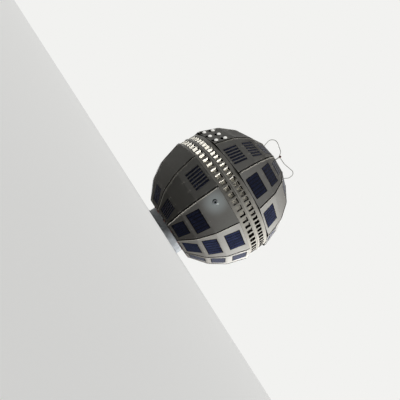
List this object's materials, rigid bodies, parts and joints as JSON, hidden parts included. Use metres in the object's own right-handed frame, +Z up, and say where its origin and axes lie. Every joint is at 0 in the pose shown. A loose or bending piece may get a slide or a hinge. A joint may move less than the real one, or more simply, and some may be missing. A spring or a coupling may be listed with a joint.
{
  "type": "communications satellite",
  "caption": "Ball-shaped communications satellite with flat solar panels, belts of microwave ports round its waist, a launch hoop below and a wire antenna on top.",
  "frame": {"origin": "centre of the launch hoop's open edge, on the floor under the spin axis", "axes": "+Z up the spin axis from the hoop to the wire antenna, -Y towards the side that the picture shows"},
  "size_m": [0.8636, 0.8636, 0.98],
  "materials": {
    "panel_paint": "matt warm grey ceramic-like coat",
    "solar_cell": "near-black blue cells under clear cover plates",
    "frame_black": "dull black, seen only in the seams",
    "port_enamel": "creamy white satin coat",
    "hoop_metal": "satin, finely turned",
    "wire_metal": "pale plated wire",
    "insulator": "red-brown resin",
    "detector_white": "bright round caps",
    "canister_metal": "plain"
  },
  "bodies": {
    "root": {"antenna_hub": "insulator", "antenna_insulators": "insulator", "antenna_mast": "wire_metal", "antenna_wire_1": "wire_metal", "antenna_wire_2": "wire_metal", "belt_lower": "port_enamel", "belt_rib": "port_enamel", "belt_upper": "port_enamel", "cap_lower": "panel_paint", "cap_upper": "panel_paint", "equipment_canister": "canister_metal", "hoop_spacers": "hoop_metal", "launch_hoop": "hoop_metal", "light_detectors": "detector_white", "panels_lower_01": "panel_paint", "panels_lower_02": "panel_paint", "panels_lower_03": "panel_paint", "panels_lower_04": "panel_paint", "panels_lower_05": "panel_paint", "panels_lower_06": "panel_paint", "panels_lower_07": "panel_paint", "panels_lower_08": "panel_paint", "panels_lower_09": "panel_paint", "panels_lower_10": "panel_paint", "panels_lower_11": "panel_paint", "panels_lower_12": "panel_paint", "panels_upper_01": "panel_paint", "panels_upper_02": "panel_paint", "panels_upper_03": "panel_paint", "panels_upper_04": "panel_paint", "panels_upper_05": "panel_paint", "panels_upper_06": "panel_paint", "panels_upper_07": "panel_paint", "panels_upper_08": "panel_paint", "panels_upper_09": "panel_paint", "panels_upper_10": "panel_paint", "panels_upper_11": "panel_paint", "panels_upper_12": "panel_paint", "sensor_collar": "hoop_metal", "shell_lower": "frame_black", "shell_upper": "frame_black", "solar_strips_lower_row_1": "solar_cell", "solar_strips_lower_row_2": "solar_cell", "solar_strips_lower_row_3": "solar_cell", "solar_strips_upper_row_1": "solar_cell", "solar_strips_upper_row_2": "solar_cell", "solar_strips_upper_row_3": "solar_cell"}
  },
  "joints": []
}
